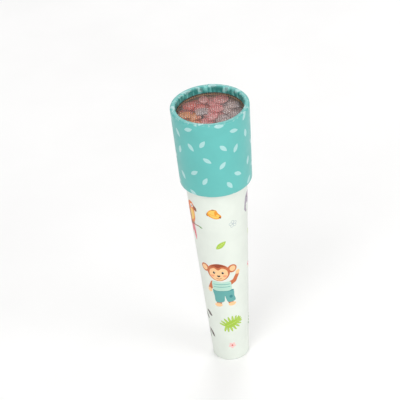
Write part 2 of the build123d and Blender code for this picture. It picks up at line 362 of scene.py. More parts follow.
def crepe_tape(name, colour=(0.80, 0.70, 0.50, 1)):
    """Masking tape: fine creases across its length."""
    p = Paint(name)
    crease = p.noise(0.5, 3, 0.6, p.stretched(1, 1, 0.15))
    p.surface(p.mix(p.range(crease, 0.35, 0.65), shade(colour, 0.8), shade(colour, 1.12)),
              p.range(crease, 0.3, 0.7, 0.55, 0.75))
    p.bump(crease, 0.05, 0.7)
    return p.material


def floor_paint():
    """Pale matt studio floor with the slightest mottle."""
    p = Paint("studio_floor")
    mottle = p.noise(140, 3)
    p.surface(p.mix(p.range(mottle, 0.3, 0.7), (0.92, 0.915, 0.91, 1), (0.95, 0.945, 0.94, 1)),
              p.range(mottle, 0.3, 0.7, 0.6, 0.75))
    return p.material


# Colour of the highlight lines painted round the chamber ring.
PAINTED_HIGHLIGHT_LINE = linear(214, 168, 112)
# Painted shade for the recess's fold valleys, and painted highlight for its fold ridges.
PLEAT_PAINTED_SHADE = linear(10, 118, 110)
PLEAT_PAINTED_HIGHLIGHT = linear(150, 232, 222)
WORN = (0.86, 0.88, 0.86, 1)
INKS = {ink: printed(*colour) for ink, colour in {
    "mint": (231, 237, 228),
    "teal": (112, 193, 188),
    "leaf_mark": (176, 220, 218),
    "green": (172, 205, 86),
    "green_light": (205, 226, 130),
    "green_deep": (104, 158, 78),
    "fur": (206, 120, 84),
    "fur_dark": (160, 86, 60),
    "skin": (255, 208, 158),
    "blush": (250, 168, 130),
    "shirt": (190, 226, 210),
    "shorts": (112, 176, 172),
    "shorts_dark": (80, 146, 148),
    "orange": (240, 160, 62),
    "orange_deep": (236, 128, 66),
    "yellow": (250, 206, 108),
    "brown": (150, 92, 52),
    "pink": (240, 130, 150),
    "pink_pale": (250, 205, 200),
    "red": (214, 84, 74),
    "grey_pale": (196, 206, 206),
    "mauve": (168, 158, 172),
    "mauve_dark": (140, 128, 150),
    "slate": (98, 86, 82),
    "dark": (58, 46, 44),
    "white": (250, 250, 246),
}.items()}
MINT, TEAL = INKS["mint"], INKS["teal"]


# ---------------- flat outlines, in mm

def moved(outline, x=0.0, y=0.0, tilt=0.0, scale=1.0, flip=False):
    """An outline scaled, mirrored left to right, turned by tilt degrees and shifted."""
    c, s = math.cos(math.radians(tilt)) * scale, math.sin(math.radians(tilt)) * scale
    points = np.asarray(outline, float) * ((-1, 1) if flip else (1, 1))
    return points @ np.array(((c, s), (-s, c))) + (x, y)


def ellipse(x, y, across, tall, tilt=0.0, points=40):
    a = np.linspace(0, TURN, points, endpoint=False)
    return moved(np.column_stack((across / 2 * np.cos(a), tall / 2 * np.sin(a))), x, y, tilt)


def leaf(x, y, length, width, tilt=0.0, fullness=0.8, points=14):
    """A pointed leaf, centred on x, y, with its tip in the direction of tilt."""
    t = np.linspace(0, 1, points)
    half = width / 2 * np.sin(math.pi * t ** 0.9) ** fullness
    half[[0, -1]] = 0
    top = np.column_stack(((t - 0.5) * length, half))
    return moved(np.vstack((top, top[-2:0:-1] * (1, -1))), x, y, tilt)


def leaf_from(x, y, length, width, tilt, fullness=0.8, shown=1.0):
    """A pointed leaf that grows from x, y. shown below 1 shortens it round the same middle."""
    c, s = math.cos(math.radians(tilt)), math.sin(math.radians(tilt))
    return leaf(x + c * length / 2, y + s * length / 2, length * shown, width, tilt, fullness)


def limb(x0, y0, x1, y1, start_width, end_width, points=10):
    """A tapered stroke with round ends."""
    axis = math.atan2(y1 - y0, x1 - x0)
    outline = []
    for x, y, width, turn in ((x1, y1, end_width, -90), (x0, y0, start_width, 90)):
        for a in np.linspace(turn, turn + 180, points):
            b = axis + math.radians(a)
            outline.append((x + width / 2 * math.cos(b), y + width / 2 * math.sin(b)))
    return np.array(outline)


def arc(x, y, radius, start, end, width, points=14):
    """A curved stroke, part of a circle, that tapers to both ends."""
    a = np.radians(np.linspace(start, end, points))
    half = width / 2 * np.sin(np.linspace(0, math.pi, points)) ** 0.5
    rim = np.column_stack((np.cos(a), np.sin(a)))
    outer, inner = rim * (radius + half)[:, None], rim * (radius - half)[:, None]
    return np.vstack((outer, inner[-2:0:-1])) + (x, y)


def smooth(*corners, per_side=7):
    """A closed soft outline through the given points."""
    c = np.asarray(corners, float)
    p0, p1, p2, p3 = (np.roll(c, k, axis=0) for k in (1, 0, -1, -2))
    pieces = []
    for t in np.linspace(0, 1, per_side, endpoint=False):
        pieces.append(
            0.5 * (2 * p1 + (p2 - p0) * t + (2 * p0 - 5 * p1 + 4 * p2 - p3) * t ** 2
                   + (3 * p1 - p0 - 3 * p2 + p3) * t ** 3)
        )
    return np.stack(pieces, axis=1).reshape(-1, 2)


def divided(outline, longest=0.7):
    """An outline with points added along its sides, so that it can follow the curve of the paper."""
    ends = np.roll(outline, -1, axis=0)
    counts = np.ceil(np.hypot(*(ends - outline).T) / longest).astype(int)
    return np.vstack([a + (b - a) * np.arange(n)[:, None] / n for a, b, n in zip(outline, ends, counts)])


# ---------------- printed figures: [(ink, outline)], back to front

def monkey():
    """A plain little monkey in a shirt and shorts, one arm up."""
    figure = []
    for side in (-1, 1):
        ear = side * 9.9 - 1.6
        figure.append(("fur", ellipse(ear, 15.2, 6.8, 7.2)))
        figure.append(("skin", ellipse(ear + side * 0.3, 15.2, 4.4, 4.8)))
    figure += [
        ("fur", limb(5.4, 1.8, 9.4, 3.6, 4, 3.4)),
        ("fur", limb(9.4, 3.6, 12, 8.6, 3.4, 3)),
        ("skin", ellipse(12.4, 10.6, 3.4, 4, -15)),
        ("fur", limb(-6.4, 2.2, -9.4, -3.2, 4, 3.2)),
        ("skin", ellipse(-9.8, -5, 3.4, 3.8, 20)),
        ("fur", limb(-2.4, -13, -3.4, -16.4, 4.4, 4)),
        ("fur", limb(5, -13, 6, -16, 4.4, 4)),
        ("skin", ellipse(-4, -18.2, 6.2, 3.4, 4)),
        ("skin", ellipse(6.8, -17.6, 6.2, 3.4, 6)),
        ("shorts", smooth((-6.2, -3.6), (7.2, -3.8), (8.8, -10), (9.4, -14.6), (3.6, -15.2), (1.6, -9.6),
                          (0.6, -14.8), (-5.6, -15.6), (-6.6, -10))),
        ("shorts_dark", smooth((-5.8, -3.6), (7, -3.8), (7.2, -5.2), (-6, -5))),
        ("shorts_dark", ellipse(6.2, -10.4, 2.6, 2.8)),
        ("shirt", smooth((-6.4, 4.2), (0, 3.4), (6, 3.8), (7, 0.2), (6.6, -4.2), (0.4, -4.8), (-6, -4.4),
                         (-7.4, -0.6))),
    ]
    figure += [("shorts", limb(-6.2, y, 5.8, y + 0.2, 0.5, 0.5)) for y in (1.2, -1.2)]
    figure += [
        ("fur", ellipse(-1.6, 12.6, 16.4, 15.8)),
        ("fur_dark", smooth((-7.2, 17.2), (-4, 19.8), (-1.4, 20.5), (1.2, 19.8), (4.2, 17.2), (1, 18),
                            (-1.6, 16.6), (-4.2, 18))),
        ("skin", smooth((-8.2, 10.2), (-7.6, 14.4), (-4.4, 16.4), (-1.6, 14.6), (1.2, 16.4), (4.4, 14.4),
                        (5, 10.2), (2.6, 6.6), (-1.6, 5.2), (-5.8, 6.6))),
        ("blush", ellipse(-6, 9.2, 2.8, 1.9)),
        ("blush", ellipse(2.8, 9.2, 2.8, 1.9)),
    ]
    for x in (-4.7, 1.5):
        figure.append(("dark", ellipse(x, 12.2, 1.7, 2.1)))
        figure.append(("white", ellipse(x + 0.35, 12.7, 0.6, 0.6, points=12)))
    figure += [
        ("dark", smooth((-2.9, 9.7), (-0.3, 9.7), (-1.6, 8.2))),
        ("fur_dark", arc(-1.6, 9.2, 2.6, 215, 325, 0.5)),
    ]
    return figure


def sun_hat():
    return [
        ("brown", smooth((-5.4, -0.8), (-4.6, 1.4), (-2.8, 2.6), (-1, 1), (-2.6, -1.4), (-4.4, -2))),
        ("orange", smooth((-5, 0.2), (-3.6, 3), (-1.2, 4.6), (1.4, 4.2), (2.8, 2), (5.3, -0.4), (5, -2.4),
                          (2, -3.6), (-1.4, -3), (-4.2, -1.6))),
        ("yellow", smooth((-4, 0.8), (-2.6, 3), (-0.8, 3.9), (1.2, 3.4), (2, 1.2), (4.4, -0.8), (3.4, -2.4),
                          (0.4, -2.7), (-2.4, -1.4))),
        ("orange", smooth((0.4, 3.2), (1.8, 2.8), (2.2, 0.6), (1, -0.6), (0.4, 1.2))),
        ("brown", leaf(-0.9, 4.2, 2.6, 0.7, 4)),
        ("brown", leaf(4.6, -1.8, 2.4, 1.1, -50)),
        ("orange", limb(-3.2, 0, 2.6, -1.2, 0.4, 0.3)),
    ]


def green_leaf(length=10, width=4):
    vein = [("green_light", leaf(0, 0, length * 0.9, 0.45))]
    for i in range(4):
        x = (i - 1.6) * length * 0.17
        for side in (-1, 1):
            vein.append(("green_light", leaf(x + 0.6, side * width * 0.16, width * 0.42, 0.28, side * 48)))
    return [("green", leaf(0, 0, length, width))] + vein


def split_leaf(length=14):
    """A broad jungle leaf, cut into blunt fingers on both sides of its rib. Its tip points along +x."""
    figure = []
    for i in range(8):
        t = i / 7
        x = (t - 0.5) * length * 0.72
        reach = length * (0.53 - 0.8 * (t - 0.4) ** 2)
        for side in (-1, 1):
            tilt = side * (128 - 104 * t)
            figure.append(("green", leaf_from(x, 0, reach, length * 0.12, tilt, 0.4)))
            figure.append(("green_light", leaf_from(x, 0, reach, length * 0.018, tilt, shown=0.8)))
    figure.append(("green", ellipse(-length * 0.06, 0, length * 0.74, length * 0.44)))
    figure.append(("green_light", leaf(0, 0, length * 0.84, length * 0.03)))
    return figure


def palm_frond(length=18):
    """A frond with narrow leaflets along a curved stalk."""
    figure = []
    for i in range(9):
        t = i / 8
        x, y = (t - 0.5) * length, 2 * math.sin(math.pi * t)
        reach = length * 0.34 * (1 - 0.55 * t)
        for side in (-1, 1):
            tilt = side * (62 - 34 * t) + 8 * (0.5 - t)
            figure.append(("green_deep", leaf_from(x, y, reach, 1.5, tilt)))
        figure.append(("green", limb(x - 1.3, y - 0.25, x + 1.3, y + 0.15, 0.8, 0.6)))
    return figure


def petal_places(size, start):
    """Where five petals sit round a flower's heart: (x, y, angle)."""
    for k in range(5):
        a = start + 72 * k
        yield size * math.cos(math.radians(a)), size * math.sin(math.radians(a)), a


def outline_flower(size=6.4, ink="grey_pale"):
    """Five open petals drawn as a pale line."""
    figure = []
    for x, y, a in petal_places(size * 0.27, 90):
        figure.append((ink, ellipse(x, y, size * 0.48, size * 0.4, a)))
        figure.append(("mint", ellipse(x * 1.06, y * 1.06, size * 0.32, size * 0.24, a)))
    return figure + [(ink, ellipse(0, 0, size * 0.2, size * 0.2))]


def small_flower(petal="pink_pale", heart="red", size=5.4):
    figure = [(petal, ellipse(x, y, size * 0.5, size * 0.4, a)) for x, y, a in petal_places(size * 0.28, 54)]
    return figure + [(heart, ellipse(0, 0, size * 0.24, size * 0.24))]


def dark_blades(*blades):
    """Narrow brown-grey blades, each given as (x, y, length, tilt), with a paler stripe along each."""
    figure = []
    for x, y, length, tilt in blades:
        figure.append(("slate", leaf(x, y, length, 3.2, tilt, 0.8)))
        figure.append(("grey_pale", leaf(x - 0.7, y - 0.5, length * 0.6, 0.5, tilt)))
    return figure


def parrot():
    """A plain perched parrot that faces right."""
    return [
        ("pink", smooth((-2.2, -2), (2.6, -3), (3.8, -9), (3.4, -17), (1.8, -19.4), (0.2, -12), (-2.2, -16),
                        (-2.8, -8))),
        ("red", limb(0.8, -6, 2.4, -16.5, 1.4, 0.7)),
        ("orange_deep", smooth((-6.2, -2), (-6.6, 4), (-3.4, 9), (1.2, 13.6), (5.4, 14.2), (7.8, 11.2),
                               (7, 6.4), (6.4, 0.6), (3.4, -4.4), (-2, -5.4))),
        ("yellow", smooth((1, -2.6), (5.4, 0.8), (6, 6.4), (3, 8.4), (0.8, 3.2))),
        ("brown", smooth((-5.4, 4.4), (-1.8, 6.4), (0.8, 3), (0.4, -3.4), (-2.6, -9), (-5.2, -4.2))),
        ("fur", smooth((-4.6, 3.2), (-1.6, 4.8), (0, 1.8), (-0.6, -2.6), (-2.6, -6), (-4.4, -2.6))),
        ("brown", smooth((7, 11.8), (9.6, 10.4), (9.6, 7.6), (8.2, 7.4), (6.6, 9))),
        ("white", ellipse(4.6, 10.8, 3.2, 3)),
        ("dark", ellipse(4.9, 10.8, 1.3, 1.5)),
        ("brown", limb(-8.5, -5.6, 9.6, -5.2, 1.3, 0.8)),
        ("green_deep", leaf(10.6, -5.8, 3.6, 1.2, -24)),
        ("brown", limb(1.6, -4, 2, -6, 0.9, 0.9)),
        ("brown", limb(3.8, -3.6, 4.4, -5.6, 0.9, 0.9)),
    ]


def elephant():
    """A plain elephant, seen from its left, with its trunk down."""
    figure = [
        ("mauve_dark", limb(8.6, -1.6, 8.2, -8.6, 4, 3.6)),
        ("mauve_dark", limb(0.6, -3, 0.4, -8.6, 4, 3.6)),
        ("mauve_dark", limb(11.2, 2.6, 12.6, -2.4, 0.8, 0.6)),
        ("mauve", smooth((-4.6, 5), (2, 7.2), (8.6, 5.6), (11.6, 1), (10.8, -4.4), (2, -5.4), (-4, -4.2))),
        ("mauve", limb(10, -2, 10.6, -8.8, 4.2, 4)),
        ("mauve", limb(-1.6, -2, -2.2, -8.8, 4.2, 4)),
        ("mauve", ellipse(-6.2, 3.6, 9.8, 9.4)),
        ("mauve", limb(-9.6, 1.6, -11, -3.4, 3.8, 2.8)),
        ("mauve", limb(-11, -3.4, -9.4, -6.4, 2.8, 1.9)),
        ("mauve_dark", ellipse(-2.4, 3.6, 6.4, 8.2, 10)),
        ("pink_pale", ellipse(-2.2, 3.4, 4.2, 5.8, 10)),
        ("dark", ellipse(-7.8, 4.8, 1.1, 1.3)),
        ("white", leaf(-8.4, -0.6, 3, 0.9, 215)),
    ]
    figure += [("white", ellipse(x, -10, 1.1, 0.8)) for x in (9.6, 11.4, -2.9, -1.4)]
    return figure


def giraffe():
    """A plain giraffe that faces left."""
    figure = [("brown", limb(7.6, 1, 10, -5, 0.8, 1.2))]
    figure += [("orange", limb(x, -5, x - 0.4, -17.6, 2.8, 2)) for x in (-3, 0.2, 4.4, 7)]
    figure += [("brown", limb(x - 0.4, -17.4, x - 0.4, -18.4, 2.2, 2.4)) for x in (-3, 0.2, 4.4, 7)]
    figure += [
        ("yellow", smooth((-4.6, 2.6), (0, 4.2), (6, 2.8), (8.6, -0.6), (8, -5.4), (1, -6.6), (-4.4, -5.4))),
        ("yellow", limb(-2.6, 0, -5.8, 15, 5, 3)),
        ("yellow", smooth((-11.2, 15), (-8.8, 18.6), (-5.6, 19.6), (-3.6, 17.4), (-4.8, 14.6), (-8.6, 13.4))),
        ("orange", leaf(-2.4, 17.2, 3.4, 1.7, -20)),
        ("brown", limb(-6.8, 19, -7.4, 21.6, 0.7, 1)),
        ("brown", limb(-5.2, 19.4, -5, 22, 0.7, 1)),
        ("dark", ellipse(-7.2, 17, 0.9, 1.1)),
        ("brown", ellipse(-10.4, 15.4, 0.6, 0.5)),
    ]
    for x, y, size in ((-2, 0.6, 2.2), (1.6, 1.2, 2.6), (5.2, 0, 2.4), (0.2, -3, 2.4), (3.8, -3.4, 2.2),
                       (-3.6, 4.6, 1.8), (-4.2, 8.2, 1.6), (-5, 11.6, 1.4), (7, -3, 1.6)):
        figure.append(("orange", ellipse(x, y, size, size * 0.84, 15 * size, 9)))
    return figure


def turtle():
    figure = [("green_deep", limb(*leg, 2.6, 2.2)) for leg in ((-4, -2, -6.2, -4.6), (3.4, -2, 5.4, -4.8))]
    figure += [
        ("green_light", limb(5.6, 0.4, 9.4, 2.2, 3, 4.4)),
        ("green_deep", limb(-7, -1.2, -9, -2, 1.4, 0.6)),
        ("shorts", smooth((-7.4, -2.2), (-6.6, 2.2), (-3, 5.4), (1.6, 5.6), (5.6, 2.6), (7, -2.2), (0, -3))),
        ("shorts_dark", smooth((-7.4, -2), (7, -2), (6.4, -3.4), (-6.8, -3.4))),
        ("dark", ellipse(10.2, 3, 0.8, 1)),
    ]
    spots = ((-4, 0.4, 2.4), (-1.2, 2.6, 2.8), (2.2, 2, 2.4), (0.6, -0.6, 2.2), (4.2, -0.4, 1.8))
    figure += [("shirt", ellipse(x, y, size, size * 0.8, points=7)) for x, y, size in spots]
    return figure


def butterfly(wing="pink", tip="orange"):
    figure = []
    for side in (-1, 1):
        figure += [
            (wing, leaf(side * 2.3, 1.6, 5, 3.2, 90 - side * 55, 0.6)),
            (tip, leaf(side * 1.7, -1.6, 3.4, 2.4, -90 + side * 48, 0.6)),
            ("white", ellipse(side * 2.9, 2.2, 1.1, 0.9)),
        ]
    return figure + [("dark", limb(0, 2, 0, -2, 0.7, 0.5))]


# ---------------- what the CAD model measures, in mm

SAME_HEIGHT = 0.06


def cad_radius(node, height, outer=True):
    """The largest or smallest distance from the axis of a CAD node's points near a height."""
    points = np.array([v.co for v in frame["nodes"][node].data.vertices]) / MM
    near = points[np.abs(points[:, 2] - height) < SAME_HEIGHT]
    reach = np.hypot(near[:, 0], near[:, 1])
    return float(reach.max() if outer else reach.min())


def cad_heights(node):
    low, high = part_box(node)
    return low.z / MM, high.z / MM


TUBE_FOOT, TUBE_TOP = cad_heights("tube_wrap")
TUBE_FOOT_RADIUS = cad_radius("tube_wrap", TUBE_FOOT)
TUBE_TOP_RADIUS = cad_radius("tube_wrap", TUBE_TOP)
HEAD_FOOT, HEAD_TOP = cad_heights("head_wrap")
COLLAR_FOOT = cad_heights("head_collar")[0]
WINDOW_FOOT, WINDOW_TOP = cad_heights("chamber_window")
WINDOW_RADIUS = cad_radius("chamber_window", WINDOW_TOP)
RECESS_RADIUS = cad_radius("head_wrap", WINDOW_TOP, outer=False)
TURN_IN_RADIUS = cad_radius("head_wrap", COLLAR_FOOT, outer=False)
HEAD_RIM_RADIUS = 27.5
HEAD_LOW_RADIUS = 25.5
RIM_ROUND = 1.3
LOW_EDGE_ROUND = 0.7
PAPER = 0.25
SINK = 0.12
# The lap's width and slope in degrees, and the length over which it fades at the paper's ends.
LAP_WIDTH, LAP_RAMP, LAP_END = 7.0, 1.6, 0.5
# The figures' gap to the seam, in radians, the grid's gap to a figure's outline, and the step for slopes.
SEAM_GAP, GRID_GAP, SLOPE_STEP = 0.004, 0.22, 0.02
# The least lengths and area that count.
AT_EDGE, MERGE, TINY, LEAST_AREA = 1e-4, 1e-5, 1e-6, 1e-7


# ---------------- printed paper, as a thin closed sheet

class Profile:
    """A line of (radius, height) points in mm with rounded corners, measured along its length.

    The paper's printed side is on the right of the line's direction.
    """

    ARC_STEPS = 24

    def __init__(self, corners, rounds=()):
        corners = [Vector(c) for c in corners]
        heads = [math.atan2(b.y - a.y, b.x - a.x) for a, b in zip(corners, corners[1:])]
        line = [(corners[0], heads[0])]
        for corner, radius, a0, a1 in zip(corners[1:], rounds, heads, heads[1:]):
            turn = (a1 - a0) % TURN
            start = corner - radius * math.tan(turn / 2) * Vector((math.cos(a0), math.sin(a0)))
            centre = start + radius * Vector((-math.sin(a0), math.cos(a0)))
            for k in range(self.ARC_STEPS + 1):
                a = a0 + turn * k / self.ARC_STEPS
                line.append((centre + radius * Vector((math.sin(a), -math.cos(a))), a))
        line.append((corners[-1], heads[-1]))
        self.radius = np.array([p.x for p, _ in line])
        self.height = np.array([p.y for p, _ in line])
        self.heading = np.unwrap([a for _, a in line])
        steps = np.hypot(np.diff(self.radius), np.diff(self.height))
        self.along = np.concatenate(((0,), np.cumsum(steps)))
        self.length = float(self.along[-1])

    def at(self, s):
        """Radius, height and outward direction (across, up) at lengths s."""
        a = np.interp(s, self.along, self.heading)
        radius, height = (np.interp(s, self.along, values) for values in (self.radius, self.height))
        return radius, height, np.sin(a), -np.cos(a)

    def wall(self):
        """Where the longest straight stretch starts and ends."""
        i = int(np.argmax(np.diff(self.along)))
        return self.along[i], self.along[i + 1]

    def rows(self, spacing):
        """Lengths to put rows of points at: close together on the arcs, further apart between them."""
        rows = [0.0]
        for a, b in zip(self.along, self.along[1:]):
            gap = b - a
            if gap > spacing / 4:
                count = math.ceil(gap / spacing)
                rows += [a + gap * (k + 1) / count for k in range(count)]
            elif b - rows[-1] > 0.3:
                rows.append(float(b))
        rows[-1] = self.length
        return rows


def inside(points, outline):
    """Which points lie in a closed outline."""
    x, y = points[:, 0], points[:, 1]
    hit = np.zeros(len(points), bool)
    low, high = outline.min(0), outline.max(0)
    near = np.flatnonzero((x >= low[0]) & (x <= high[0]) & (y >= low[1]) & (y <= high[1]))
    if len(near) == 0:
        return hit
    px, py = x[near, None], y[near, None]
    ax, ay = outline[:, 0], outline[:, 1]
    bx, by = np.roll(ax, -1), np.roll(ay, -1)
    spans = (ay > py) != (by > py)
    rise = np.where(by == ay, 1, by - ay)
    crossings = spans & (px < ax + (py - ay) * (bx - ax) / rise)
    hit[near] = crossings.sum(1) % 2 == 1
    return hit


def ranked(chosen, by):
    """Indexes of the chosen points, in the order of by."""
    found = np.flatnonzero(chosen)
    return found[np.argsort(by[found])].tolist()


class PrintedSheet:
    """Paper glued round the toy, with its figures cut into the mesh so that their edges stay sharp."""

    def __init__(self, profile, columns, spacing, lift):
        self.profile = profile
        self.columns = columns
        self.rows = profile.rows(spacing)
        self.lift = lift
        self.across = float(np.median(profile.radius))
        self.regions = []

    def height_to_length(self, height):
        """Path length of a height on the wall. Heights past its end carry on along the path."""
        start, end = self.profile.wall()
        r, z, _, _ = self.profile.at(np.array((start, end)))
        return start + (height - z[0]) * (end - start) / (z[1] - z[0])

    def add(self, figure, angle, height, tilt=0.0, scale=1.0, flip=False):
        s = self.height_to_length(height)
        radius = float(self.profile.at(np.array([s]))[0][0])
        edge = (math.pi - SEAM_GAP) * self.across
        for ink, outline in figure:
            flat = divided(moved(outline, tilt=tilt, scale=scale, flip=flip))
            flat[:, 0] *= self.across / radius
            flat += (math.radians(angle) * self.across, s)
            flat[:, 0] = np.clip(flat[:, 0], -edge, edge)
            self.regions.append((ink, flat))

    def flat_mesh(self):
        """Triangles of the flat sheet, with an ink for each."""
        half = math.pi * self.across
        across = np.linspace(-half, half, self.columns + 1)
        grid = np.array([(u, v) for v in self.rows for u in across])
        outlines = [o for _, o in self.regions]
        length = self.profile.length
        edge = (np.abs(grid[:, 0]) > half - TINY) | (grid[:, 1] < TINY) | (grid[:, 1] > length - TINY)
        clear = np.ones(len(grid), bool)
        for o in outlines:
            low, high = o.min(0) - GRID_GAP, o.max(0) + GRID_GAP
            near = np.flatnonzero(((grid > low) & (grid < high)).all(1) & ~edge)
            if len(near):
                gap = np.hypot(*(grid[near, None] - o[None]).transpose(2, 0, 1)).min(1)
                clear[near[gap < GRID_GAP]] = False
        points = [Vector(p) for p in grid[clear]]
        lines = []
        for o in outlines:
            first = len(points)
            points += [Vector(p) for p in o]
            lines += [(first + k, first + (k + 1) % len(o)) for k in range(len(o))]
        flat, _, faces, *_ = delaunay_2d_cdt(points, lines, [], 0, MERGE)
        flat = np.array([tuple(p) for p in flat])
        faces = np.array([f for f in faces if len(f) == 3])
        a, b, c = (flat[faces[:, k]] for k in range(3))
        area = (b[:, 0] - a[:, 0]) * (c[:, 1] - a[:, 1]) - (b[:, 1] - a[:, 1]) * (c[:, 0] - a[:, 0])
        whole = np.abs(area) > LEAST_AREA
        faces, area = faces[whole], area[whole]
        faces[area < 0] = faces[area < 0][:, ::-1]
        centres = flat[faces].mean(1)
        ink = np.zeros(len(faces), int)
        for k, o in enumerate(outlines):
            ink[inside(centres, o)] = k + 1
        return flat, faces, ink

    def surface(self, u, v, offset):
        """Points in metres of the flat places u, v, raised off the CAD surface by offset mm."""
        r, z, out, up = self.profile.at(v)
        turn = u / self.across
        r, z = r + offset * out, z + offset * up
        return np.column_stack((r * np.sin(turn), -r * np.cos(turn), z)) * MM

    def build(self, name, base_ink, sheet):
        flat, faces, ink = self.flat_mesh()
        u, v = flat[:, 0], flat[:, 1]
        half, length = math.pi * self.across, self.profile.length

        def face(u, v):
            return self.surface(u, v, self.lift(np.degrees(u / self.across), v) - SINK)

        slope_u = face(np.minimum(u + SLOPE_STEP, half), v) - face(np.maximum(u - SLOPE_STEP, -half), v)
        slope_v = face(u, np.minimum(v + SLOPE_STEP, length)) - face(u, np.maximum(v - SLOPE_STEP, 0))
        normals = np.cross(slope_u, slope_v)
        normals /= np.linalg.norm(normals, axis=1)[:, None]

        top = face(u, v)
        under_rows = self.rows[::3] + ([self.rows[-1]] if (len(self.rows) - 1) % 3 else [])
        turns = np.linspace(-math.pi, math.pi, self.columns, endpoint=False) * self.across
        under_u = np.tile(turns, len(under_rows))
        under_v = np.repeat(under_rows, self.columns)
        under = self.surface(under_u, under_v, np.full(len(under_u), -PAPER))
        first = len(top)
        n = self.columns

        all_faces = [tuple(f) for f in faces]
        inks = [self.regions[k - 1][0] if k else base_ink for k in ink]
        printed_count = len(all_faces)
        for row in range(len(under_rows) - 1):
            for k in range(n):
                a, b = first + row * n + k, first + row * n + (k + 1) % n
                all_faces.append((a, a + n, b + n, b))
        for v_end, row, back in ((0, 0, False), (length, len(under_rows) - 1, True)):
            loop = ranked(np.abs(v - v_end) < AT_EDGE, u)
            for k in range(n):
                a, b = loop[k], loop[k + 1]
                c, e = first + row * n + (k + 1) % n, first + row * n + k
                all_faces.append((a, b, c, e) if back else (e, c, b, a))
        left, right = ranked(u < -half + AT_EDGE, v), ranked(u > half - AT_EDGE, v)
        for k in range(len(left) - 1):
            all_faces.append((right[k], left[k], left[k + 1], right[k + 1]))
        inks += ["cut"] * (len(all_faces) - printed_count)

        mesh = bpy.data.meshes.new(name)
        mesh.from_pydata(np.vstack((top, under)).tolist(), [], all_faces)
        names = sorted(set(inks))
        for ink_name in names:
            mesh.materials.append(paper_material(sheet, ink_name))
        mesh.polygons.foreach_set("material_index", [names.index(i) for i in inks])
        mesh.polygons.foreach_set("use_smooth", [True] * len(all_faces))
        mesh.update()
        flat_normals = np.zeros(len(all_faces) * 3)
        mesh.polygons.foreach_get("normal", flat_normals)
        corner_normals = np.repeat(flat_normals.reshape(-1, 3), [len(f) for f in all_faces], axis=0)
        corner_normals[:faces.size] = normals[faces.ravel()]
        mesh.normals_split_custom_set(corner_normals.tolist())
        return placed(name, mesh)


def lap(degrees, s, length):
    """The glued overlap down the back: a strip one paper higher, with its free edge at the very back."""
    rise = np.clip((degrees - (180 - LAP_WIDTH)) / LAP_RAMP, 0, 1)
    ends = np.clip(np.minimum(s, length - s) / LAP_END, 0, 1)
    return SINK * rise * rise * (3 - 2 * rise) * ends


# ---------------- the two printed sheets

# Angle, height and tilt of each leaf mark. HEAD_MARKS fills half the head, and the other half repeats it.
HEAD_MARKS = (
    (-59, 203.5, -58), (-36, 210, 18), (-35, 195.5, -54), (-16, 199.5, 56), (10.5, 213.5, -4),
    (14.5, 195, -48), (33, 206.5, -14), (34.5, 192, 64), (56, 213, 58), (57, 199, 98), (-59, 190, 74),
    (-11, 186, -36), (11.5, 181, 52), (61, 175.5, 76), (-34, 174.5, 34), (-59, 168.5, -58),
    (36, 170.5, -32), (-17.5, 168.5, 60), (20.5, 163.5, -58), (-40, 156.5, -36), (62, 159, 40),
    (78, 186, -50), (84, 207, 20), (80, 167, -20), (-81, 180, 30), (-80, 159, 10), (-82, 211, -40),
)
RIM_MARKS = ((174, 217.4, 4), (-139, 217.6, -30), (127, 217.2, 62), (-91, 217.0, 80), (-62, 219.5, 30),
             (76, 218.5, 10), (24, 219.8, -30), (-16, 218.0, 70), (150, 219.6, 40), (-165, 219.4, -50))

# Figure, angle, height and tilt, and where they aren't 1 and False, its scale and whether it is mirrored.
TUBE_PRINT = (
    (sun_hat(), -11, 137.2, -8),
    (outline_flower(), 26, 126.8, 10),
    (green_leaf(), -2.4, 109.6, 43),
    (monkey(), -9, 72, 0),
    (split_leaf(), 9, 35.5, 24),
    (small_flower(), 4.6, 14.3, 0),
    (dark_blades((2.2, 2.3, 6.8, -38), (-1.9, -2.2, 6.8, -38)), -66, 40, 0),
    (dark_blades((1.5, 1.0, 8.4, -50), (-3.4, -1.0, 10.5, -70)), -66, 22, 0),
    (parrot(), -74, 128.5, 4),
    (elephant(), 92, 136.5, 0),
    (green_leaf(9, 3.6), 84, 108, 118),
    (butterfly(), 86, 80, 14),
    (outline_flower(), 88, 57, 0, 0.9),
    (small_flower("yellow", "orange"), -96, 105, 20),
    (green_leaf(9, 3.8), -88, 62, 70),
    (giraffe(), 118, 90, 0),
    (palm_frond(), 98, 32, 68),
    (small_flower(), 94, 9, 30, 0.9),
    (turtle(), -122, 92, 4),
    (split_leaf(), -112, 50, 70, 0.9),
    (small_flower("pink", "yellow"), -104, 15, 10, 0.9),
    (outline_flower(), -132, 113, 30),
    (green_leaf(), -136, 139, 150),
    (butterfly("orange", "pink"), -154, 72, -20, 1.1),
    (sun_hat(), 152, 122, 10, 0.95, True),
    (green_leaf(11, 4.2), 156, 145, 20),
    (split_leaf(), 140, 58, 110, 0.95),
    (palm_frond(), -152, 38, 100, 0.95),
    (small_flower("yellow", "orange"), -164, 112, 0),
    (green_leaf(8, 3.2), 126, 32, 60),
    (dark_blades((0, 2.0, 7.0, 35), (1.4, -1.6, 7.0, 30)), 160, 22, 0, 0.9),
    (outline_flower(), 128, 11, 0, 0.7),
)


# The worn edges: height, and how far the wear reaches.
HEAD_WEAR = ((155.2, 0.9), (214.6, 1.1))
TUBE_WEAR = ((1.0, 0.8),)


def paper_material(sheet, ink):
    """The material of an ink, or of the cut edge, on the tube's or the head's sheet."""
    if ink == "cut":
        return plain_card(f"{sheet}_paper_edge", linear(236, 234, 228), 0.2)
    # For the head, 0.75 is the share of the painted fold shade and highlight on its recess wall.
    wear, painted_fold_shading = (HEAD_WEAR, 0.75) if sheet == "head" else (TUBE_WEAR, 0)
    return printed_paper(f"{sheet}_{ink}", INKS[ink], wear, painted_fold_shading)


